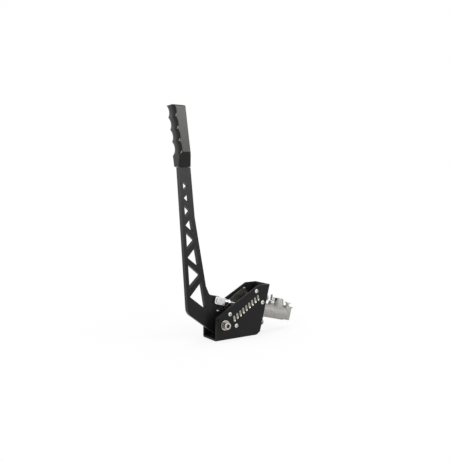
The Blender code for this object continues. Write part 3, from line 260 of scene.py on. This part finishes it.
def grip_finish_with_painted_shade():
    """Blasted grey on the two flat sides; the grooves, tapers and chamfers, facing elsewhere, painted
    a glossier black as painted shade.
    """
    made = metal_finish(
        "anodised_grip", dark=(0.048, 0.0475, 0.0455), light=(0.064, 0.063, 0.060), roughness=0.44,
        metallic=0.35, grain=2600, bump_strength=0.10, specular=0.36)
    tree = made.node_tree
    shader = tree.nodes["Principled BSDF"]
    parts = add(tree, "ShaderNodeSeparateXYZ")
    tree.links.new(softened_normal(tree, reach=0.0013), parts.inputs[0])
    sideways = add(tree, "ShaderNodeMath", operation="ABSOLUTE")
    tree.links.new(parts.outputs["Y"], sideways.inputs[0])
    flat = span(tree, sideways.outputs[0], low=0.0, high=1.0, start=0.975, end=0.992)
    grey = shader.inputs["Base Color"].links[0].from_socket
    # painted shade: every face not turned to the sides gets near-black
    black = (0.007, 0.007, 0.007)
    gloss = span(tree, flat, low=0.16, high=0.44, start=0.0, end=1.0)
    tree.links.new(mixed(tree, flat, black, grey), shader.inputs["Base Color"])
    tree.links.new(gloss, shader.inputs["Roughness"])
    # painted light: the grip turns lighter towards its top
    return painted_light_above(made, low=0.40, high=0.49, gain=1.5)


FINISHES = {
    "black_steel": metal_finish(
        "powder_coat_black", dark=(0.0075, 0.0075, 0.0076), light=(0.011, 0.011, 0.0112),
        roughness=0.46, metallic=0.0, grain=1500, bump_strength=0.35, bump_distance=0.00010,
        # lighter edge colour: a painted edge highlight
        edge=(0.032, 0.032, 0.033), specular=0.14),
    # painted light: the lever's black turns lighter towards its top
    "black_anodised": painted_light_above(
        metal_finish(
            "anodised_black", dark=(0.0075, 0.0075, 0.0077), light=(0.0125, 0.0125, 0.0127),
            roughness=0.40, metallic=0.2, grain=1800, bump_strength=0.18, stretch=(6, 1, 0.35),
            # lighter edge colour: a painted edge highlight
            edge=(0.045, 0.045, 0.046), specular=0.20),
        low=0.15, high=0.37, gain=3.2),
    "grey_anodised": grip_finish_with_painted_shade(),
    "polished_steel": metal_finish(
        "polished_steel", dark=(0.40, 0.385, 0.35), light=(0.52, 0.50, 0.46), roughness=0.30,
        metallic=1.0, grain=90, bump_strength=0.02, stretch=(1, 1, 8), spread=0.04),
    "zinc_plate": metal_finish(
        "zinc_plate", dark=(0.58, 0.59, 0.59), light=(0.74, 0.74, 0.73), roughness=0.28,
        # dark hollow colour: painted shade in sockets and gaps between parts
        metallic=1.0, grain=700, bump_strength=0.12, crevice_shade=(0.03, 0.03, 0.03), crevice_shade_reach=0.0035),
    "nickel_plate": metal_finish(
        "nickel_plate", dark=(0.43, 0.405, 0.37), light=(0.58, 0.56, 0.52), roughness=0.24,
        # near-black hollow colour: painted shade in the key socket and gaps
        metallic=1.0, grain=700, bump_strength=0.12, crevice_shade=(0.012, 0.011, 0.010),
        crevice_shade_reach=0.0055),
    "bronze": metal_finish(
        "sintered_bronze", dark=(0.42, 0.27, 0.12), light=(0.58, 0.38, 0.18), roughness=0.45,
        metallic=1.0, grain=3000, bump_strength=0.3),
    "cast_aluminium": metal_finish(
        "cast_aluminium", dark=(0.27, 0.263, 0.250), light=(0.36, 0.352, 0.336), roughness=0.50,
        metallic=0.45, grain=900, bump_strength=0.5, bump_distance=0.0002,
        # darker hollow colour: painted shade in corners and gaps
        crevice_shade=(0.10, 0.097, 0.092)),
    "spring_steel": metal_finish(
        "spring_steel", dark=(0.25, 0.25, 0.27), light=(0.40, 0.40, 0.42), roughness=0.35,
        metallic=1.0, grain=900, bump_strength=0.1),
    "rubber": metal_finish(
        "black_rubber", dark=(0.018, 0.018, 0.018), light=(0.030, 0.030, 0.030), roughness=0.72,
        metallic=0.0, grain=1200, bump_strength=0.3),
    "clear_plastic": metal_finish(
        "milky_plastic", dark=(0.50, 0.50, 0.51), light=(0.64, 0.64, 0.64), roughness=0.22,
        # darker edge colour: a painted dark rim along the edges
        metallic=0.0, grain=900, bump_strength=0.1, edge=(0.16, 0.16, 0.16)),
}
# A darker zinc: painted shade for the flange bolts and nuts
SHADED_ZINC = metal_finish(
    "painted_shade_zinc", dark=(0.14, 0.14, 0.14), light=(0.22, 0.22, 0.22), roughness=0.36, metallic=1.0,
    grain=700, bump_strength=0.12)
# Near-white metal: painted light on the slot walls, a painted highlight in the spare hole
PAINTED_LIGHT_METAL = metal_finish(
    "painted_light_metal", dark=(0.84, 0.83, 0.81), light=(0.94, 0.93, 0.91), roughness=0.18,
    metallic=1.0, grain=600, bump_strength=0.05)

# Pieces whose finish differs from their slot's; the darker zinc on the flange bolts and nuts is
# painted shade
FINISH_OF = {
    "flange_bolt_upper": SHADED_ZINC,
    "flange_bolt_lower": SHADED_ZINC,
    "flange_nut_upper": SHADED_ZINC,
    "flange_nut_lower": SHADED_ZINC,
    "clevis_pin": FINISHES["zinc_plate"],
}


# Dressed copies of the solids: softened edges and smooth round faces

def gets_painted_light(node, face):
    if node not in PAINTED_LIGHT_NODES or abs(face.normal.y) > MOST_SIDEWAYS:
        return False
    middle = face.calc_center_median()
    if node == "bracket":
        across = middle.x - ROW_CENTRE[0]
        up = middle.z - ROW_CENTRE[1]
        along = across * cos(ROW_ANGLE) + up * sin(ROW_ANGLE)
        aside = up * cos(ROW_ANGLE) - across * sin(ROW_ANGLE)
        in_row = abs(along) < ROW_REACH[0] and abs(aside) < ROW_REACH[1]
        return in_row and abs(middle.y) > SIDE_INNER_FACE
    off = sqrt((middle.x - SPARE_HOLE[0]) ** 2 + (middle.z - SPARE_HOLE[1]) ** 2)
    # only the upward-facing faces in the hole: a painted highlight
    return off < SPARE_HOLE_REACH and face.normal.z > LEAST_UPWARDS


def swell(mesh):
    """Give the barbed fitting the stouter look of the real one, round its own axis."""
    places = [vertex.co for vertex in mesh.vertices]
    middle = sum(places, Vector()) / len(places)
    for vertex in mesh.vertices:
        off = vertex.co - middle
        vertex.co = middle + off * BARB_SWELL + BARB_AXIS * off.dot(BARB_AXIS) * (1 - BARB_SWELL)


def shorten(spring):
    """Give the return spring a mesh of its own."""
    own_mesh(spring)


def dressed_mesh(node):
    mesh = NODES[node].data.copy()
    mesh.name = node + "_dressed"
    mesh.materials.clear()
    mesh.materials.append(FINISH_OF.get(node, FINISHES[SLOT_OF[node]]))
    if node in PAINTED_LIGHT_NODES:
        mesh.materials.append(PAINTED_LIGHT_METAL)
    bm = bmesh.new()
    bm.from_mesh(mesh)
    bmesh.ops.remove_doubles(bm, verts=bm.verts, dist=MERGE_DISTANCE)
    bmesh.ops.dissolve_limit(bm, angle_limit=FLAT_ANGLE, verts=bm.verts, edges=bm.edges)
    for face in bm.faces:
        face.material_index = int(gets_painted_light(node, face))
    bm.to_mesh(mesh)
    bm.free()
    if node == "inlet_barb":
        swell(mesh)
    return mesh


def dressed(node):
    mesh = dressed_mesh(node)
    piece = bpy.data.objects.new(node + "_dressed", mesh)
    bpy.context.scene.collection.objects.link(piece)
    mesh.shade_smooth()
    mesh.set_sharp_from_angle(angle=SHARP_ANGLE.get(node, PLAIN_SHARP))
    if node not in NO_BEVEL:
        edge = piece.modifiers.new("edges", "BEVEL")
        edge.width = EDGE_WIDTH.get(node, PLAIN_EDGE)
        edge.segments = EDGE_SEGMENTS
        edge.limit_method = "ANGLE"
        edge.angle_limit = PLAIN_SHARP
        edge.use_clamp_overlap = True
        edge.harden_normals = True
    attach(piece, BODY_OF[node])
    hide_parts(node)
    return piece


# Floor, light and camera

def make_floor():
    bpy.ops.mesh.primitive_plane_add(size=FLOOR_SIZE, location=(0, 0, FLOOR_HEIGHT))
    floor = bpy.context.object
    floor.name = "floor"
    made, tree, shader = material("white_floor")
    shader.inputs["Base Color"].default_value = FLOOR_COLOUR
    shader.inputs["Roughness"].default_value = FLOOR_ROUGHNESS
    glow = add(tree, "ShaderNodeEmission", in_Color=WHITE, in_Strength=1.0)
    place = add(tree, "ShaderNodeTexCoord")
    far = add(tree, "ShaderNodeVectorMath", operation="LENGTH")
    tree.links.new(place.outputs["Object"], far.inputs[0])
    white = span(tree, far.outputs["Value"], low=GLOW_NEAR, high=GLOW_FAR, start=GLOW_START,
                 end=GLOW_END)
    share = add(tree, "ShaderNodeMath", operation="MULTIPLY")
    tree.links.new(white, share.inputs[0])
    tree.links.new(seen_directly(tree), share.inputs[1])
    mix = add(tree, "ShaderNodeMixShader")
    tree.links.new(share.outputs[0], mix.inputs["Fac"])
    tree.links.new(shader.outputs["BSDF"], mix.inputs[1])
    tree.links.new(glow.outputs["Emission"], mix.inputs[2])
    tree.links.new(mix.outputs["Shader"], tree.nodes["Material Output"].inputs["Surface"])
    floor.data.materials.append(made)


def make_world():
    world = bpy.data.worlds.new("studio")
    bpy.context.scene.world = world
    world.use_nodes = True
    tree = world.node_tree
    back = tree.nodes["Background"]
    back.inputs["Color"].default_value = WHITE
    strength = span(tree, seen_directly(tree), low=WORLD_LIGHT, high=1.0, start=0.0, end=1.0)
    tree.links.new(strength, back.inputs["Strength"])


def make_lamp(name, place, size, power):
    light = bpy.data.lights.new(name, "AREA")
    light.shape = "RECTANGLE"
    light.size, light.size_y = size
    light.energy = power
    lamp = bpy.data.objects.new(name, light)
    bpy.context.scene.collection.objects.link(lamp)
    lamp.location = place
    aim = Vector(LAMP_TARGET) - Vector(place)
    lamp.rotation_euler = aim.to_track_quat("-Z", "Y").to_euler()


def make_camera():
    data = bpy.data.cameras.new("camera")
    data.sensor_width = SENSOR
    data.lens = FOCAL_PIXELS * SENSOR / FRAME_HEIGHT
    data.clip_start = NEAREST_SEEN
    camera = bpy.data.objects.new("camera", data)
    bpy.context.scene.collection.objects.link(camera)
    level = cos(CAMERA_ELEVATION)
    view = Vector((-sin(CAMERA_AZIMUTH) * level, cos(CAMERA_AZIMUTH) * level, -sin(CAMERA_ELEVATION)))
    camera.location = CAMERA_PLACE
    camera.rotation_euler = view.to_track_quat("-Z", "Y").to_euler()
    bpy.context.scene.camera = camera


pieces = {name: dressed(name) for name in NODES}
shorten(pieces["return_spring"])
make_floor()
make_world()
for name, place, size, power in LAMPS:
    make_lamp(name, place, size, power)
make_camera()
bpy.context.scene.view_settings.view_transform = "Standard"
